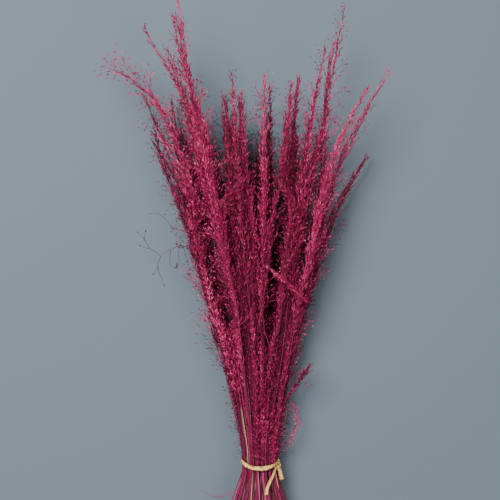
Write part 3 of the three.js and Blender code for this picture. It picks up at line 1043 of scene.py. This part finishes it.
sprig_piece(
    "sprig_across", "crossing_sprig", 0, 0.44, 1.05, 2,
    [from_tie(0, 227, 84), from_tie(14, 216, 83), from_tie(29, 203, 79), from_tie(43, 190, 74)],
)
sprig_piece(
    "sprig_at_side", "side_sprig", 0, 0.3, 1.3, 1,
    [from_tie(28, 72, 37), from_tie(40, 90, 39), from_tie(52, 108, 42)],
)
sprig_piece(
    "sprig_drooping", "drooping_sprig", 1, 0.6, 0.7, 1,
    [from_tie(31, 76, 28), from_tie(38, 64, 27), from_tie(41, 52, 26), from_tie(39, 41, 26),
     from_tie(35, 31, 26)],
)

# Fine spray and curled strand: hair-thin branches that reach out of the bunch at the left,
# forking twice, with two husks at their ends and a few where they fork; and a thin strand of
# dried leaf that curls out of the stems below the tie.
STRAND_RINGS = [(0.01, 1), (0.2, 1), (0.4, 0.92), (0.6, 0.82), (0.8, 0.7), (0.96, 0.5)]
SPRAY_RADIUS = 0.3 * MM
SPRAY_TONE = 0.2
STRAND_RADIUS = 0.42 * MM
STRAND_TONE = 0.5
STRAND_MAP_MARGIN = 0.1
SPRAY_HEIGHT = 47  # above the floor, in millimetres
SPRAY = [
    [(-70, 238), (-76, 240), (-87, 244), (-97, 240), (-105, 236), (-109, 232)],
    [(-109, 232), (-115, 237), (-120, 240), (-125, 247), (-129, 253), (-133, 257)],
    [(-98, 239), (-99, 230), (-98, 222), (-95, 220)],
    [(-109, 232), (-112, 224), (-113, 218), (-116, 214)],
    [(-112, 221), (-111, 214), (-108, 208), (-106, 202)],
    [(-74, 254), (-81, 258), (-90, 261), (-97, 265), (-104, 273), (-112, 279), (-119, 279)],
    [(-87, 244), (-90, 236), (-89, 228), (-91, 222)],
    [(-84, 243), (-82, 234), (-79, 225)],
    [(-121, 241), (-126, 241), (-130, 243)],
    [(-126, 248), (-127, 254), (-126, 258)],
]
# clusters of husks where it forks
SPRAY_HUSKS = [
    (-86, 244), (-88, 242), (-84, 243), (-90, 246), (-79, 226), (-90, 223), (-94, 262)
]


def add_strand(shape, points, radius, tone):
    levels, route = along_route(points)
    on_map = (STEMS_FROM + STRAND_MAP_MARGIN, STEMS_TO - STRAND_MAP_MARGIN)
    strand = finished(spindle(CULM_SIDES, STRAND_RINGS, *on_map, CULM_ACROSS), "strand")
    length = levels[-1]
    place = Matrix.Diagonal((radius, length, radius, 1)) @ Matrix.Translation((0, -1, 0))
    # The rings are few, so the strand is cut finer before it is bent.
    fine = bmesh.new()
    fine.from_mesh(strand)
    lengthwise = [
        edge for edge in fine.edges if abs(edge.verts[0].co.y - edge.verts[1].co.y) > 0.1
    ]
    bmesh.ops.subdivide_edges(fine, edges=lengthwise, cuts=2, use_grid_fill=True)
    fine.to_mesh(strand)
    fine.free()
    map_places.pop(strand.name, None)
    bend = bent_along(levels, route, length, length, 0, length, 1)
    add_copy(shape, strand, place, tone=tone, bend=bend)
    map_places.pop(strand.name, None)
    bpy.data.meshes.remove(strand)
    return Vector(route[-1]), Vector(route[-1] - route[-3]).normalized()


spray = new_shape()
swings = np.random.default_rng(5)
for branch, points in enumerate(SPRAY):
    heights = SPRAY_HEIGHT + np.cumsum(swings.normal(0, 0.8, len(points)))
    places = [from_tie(x, y, z) for (x, y), z in zip(points, heights)]
    end, heading = add_strand(spray, places, SPRAY_RADIUS, SPRAY_TONE)
    for number in range(2 if branch else 0):
        aimed = tilted(heading, 0.5 * number, swings.uniform(0, math.tau))
        size = sized(1.25 * MM, swings.uniform(3, 4.2) * MM)
        add_copy(spray, HUSKS[0], aim(end, aimed) @ size, tone=SPRAY_TONE, row=number)
for x, y in SPRAY_HUSKS:
    for number in range(3):
        aimed = tilted(Vector((-1, 0, 0)), swings.uniform(0.2, 1.2), swings.uniform(0, math.tau))
        start = Vector(from_tie(x, y, SPRAY_HEIGHT + swings.normal(0, 0.6)))
        place = aim(start, aimed) @ sized(1.2 * MM, 3.6 * MM)
        add_copy(spray, HUSKS[number % 2], place, tone=SPRAY_TONE, row=number)
loose_piece("spray_of_branches", "fine_spray", spray)

CURL_ROUTE = [
    (-19, -34, 34), (-25, -30, 33), (-33, -30, 32), (-41, -34, 31), (-50, -35, 30),
    (-58, -32, 29), (-67, -27, 28),
]
curl = new_shape()
add_strand(curl, [from_tie(*place) for place in CURL_ROUTE], STRAND_RADIUS, STRAND_TONE)
loose_piece("curled_leaf", "curled_strand", curl)

# Table and light: a plain pale surface, a large soft light high over the plumes at the left, a
# weaker one over the stems at the right, and an even pale surround.
FLOOR_HALF = 8.0
FLOOR_COLOUR = (0.116, 0.148, 0.18, 1)
SURROUND = (0.92, 0.96, 1, 1)
SURROUND_STRENGTH = 0.19
bed = bmesh.new()
bmesh.ops.create_grid(bed, x_segments=1, y_segments=1, size=FLOOR_HALF)
floor_mesh = bpy.data.meshes.new("floor")
bed.to_mesh(floor_mesh)
bed.free()
floor = bpy.data.objects.new("floor", floor_mesh)
bpy.context.collection.objects.link(floor)
floor_nodes = Nodes("table")
floor_nodes.shader.inputs["Base Color"].default_value = FLOOR_COLOUR
floor_nodes.shader.inputs["Roughness"].default_value = 0.8
floor_mesh.materials.append(floor_nodes.material)

world = bpy.data.worlds.new("surround")
world.use_nodes = True
surround = world.node_tree.nodes["Background"].inputs
surround["Color"].default_value = SURROUND
surround["Strength"].default_value = SURROUND_STRENGTH
bpy.context.scene.world = world


def lamp(name, place, size, power):
    """A round soft light that shines on the middle of the bunch."""
    light = bpy.data.lights.new(name, "AREA")
    light.shape = "DISK"
    light.size = size
    light.energy = power
    holder = bpy.data.objects.new(name, light)
    holder.location = place
    holder.rotation_euler = (-Vector(place)).to_track_quat("-Z", "Y").to_euler()
    bpy.context.collection.objects.link(holder)


lamp("soft_key", (-0.85, 0.85, 2.0), 1.4, 98)
lamp("soft_fill", (1.2, -0.6, 1.8), 1.2, 19)

# Camera: straight above the bunch, over the plumes, so that the cut ends run out of view.
VIEW_WIDTH = 550 * MM
CAMERA_ABOVE = 1.55
SENSOR = 36.0
BUNCH_MIDDLE = 45 * MM
VIEW_ACROSS = -11 * MM  # the middle of the view, from the tie
VIEW_ALONG = 239 * MM
camera_data = bpy.data.cameras.new("camera")
camera_data.sensor_width = SENSOR
camera_data.lens = SENSOR * CAMERA_ABOVE / VIEW_WIDTH
camera = bpy.data.objects.new("camera", camera_data)
camera.location = (
    WAIST[0] + VIEW_ACROSS, TIE_Y + VIEW_ALONG, BUNCH_MIDDLE + CAMERA_ABOVE
)
bpy.context.collection.objects.link(camera)
bpy.context.scene.camera = camera
